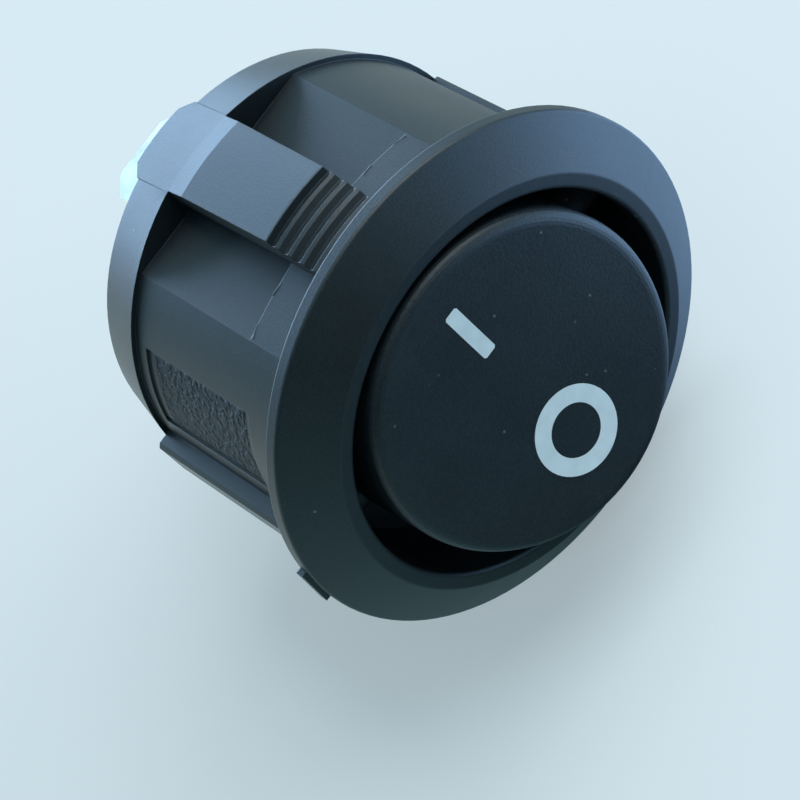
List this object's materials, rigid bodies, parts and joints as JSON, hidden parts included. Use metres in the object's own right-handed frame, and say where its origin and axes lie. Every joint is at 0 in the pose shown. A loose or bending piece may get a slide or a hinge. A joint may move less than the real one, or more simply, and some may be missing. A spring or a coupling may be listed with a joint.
{
  "type": "panel rocker switch",
  "caption": "Round snap-in rocker switch: sloped bezel, keyed barrel with ribbed latches, hollow-faced rocker marked on and off, tab terminals.",
  "frame": {"origin": "on the barrel's axis, in the plane of the bezel's rear face, where the panel's front lies", "axes": "+Y along the barrel towards the terminals, so the rocker faces -Y; +Z towards the latch at the rocker's ON end; X along the rocker's pivot, key rib at -X"},
  "size_m": [0.0232, 0.0257, 0.023],
  "materials": {
    "housing_plastic": "black moulded nylon, satin",
    "rocker_plastic": "black moulded plastic, fine matt texture",
    "mark_white": "white printed ink",
    "nylon": "natural nylon, satin",
    "spring_steel": "drawn wire",
    "copper": "stamped copper alloy",
    "silver": "silver contact, satin",
    "tinned_brass": "tinned brass, satin"
  },
  "bodies": {
    "housing": {"housing": "housing_plastic", "common_terminal": "tinned_brass", "load_terminal": "tinned_brass", "fixed_contact": "silver"},
    "rocker": {"rocker": "rocker_plastic", "mark_on": "mark_white", "mark_off": "mark_white", "plunger_spring": "spring_steel"},
    "plunger": {"plunger": "nylon"},
    "contact_lever": {"contact_lever": "copper", "moving_contact": "silver"}
  },
  "joints": [
    {"name": "rocker_tilt", "type": "hinge", "parent": "housing", "child": "rocker", "pos_m": [0, 0.002, 0], "axis": [1, 0, 0], "range_deg": [0, 25]},
    {"name": "lever_rock", "type": "hinge", "parent": "housing", "child": "contact_lever", "pos_m": [0, 0.00991, 0], "axis": [1, 0, 0], "range_deg": [-13, 0]},
    {"name": "plunger_slide", "type": "slide", "parent": "rocker", "child": "plunger", "axis": [0, -0.9763, 0.2164], "range_m": [0, 0.0008], "stiffness_N_per_m": 500, "springref_m": -0.0015, "deforming": ["plunger_spring"]}
  ],
  "couplings": [
    {"joint": "lever_rock", "follows": "rocker_tilt", "ratio": -0.52}
  ]
}
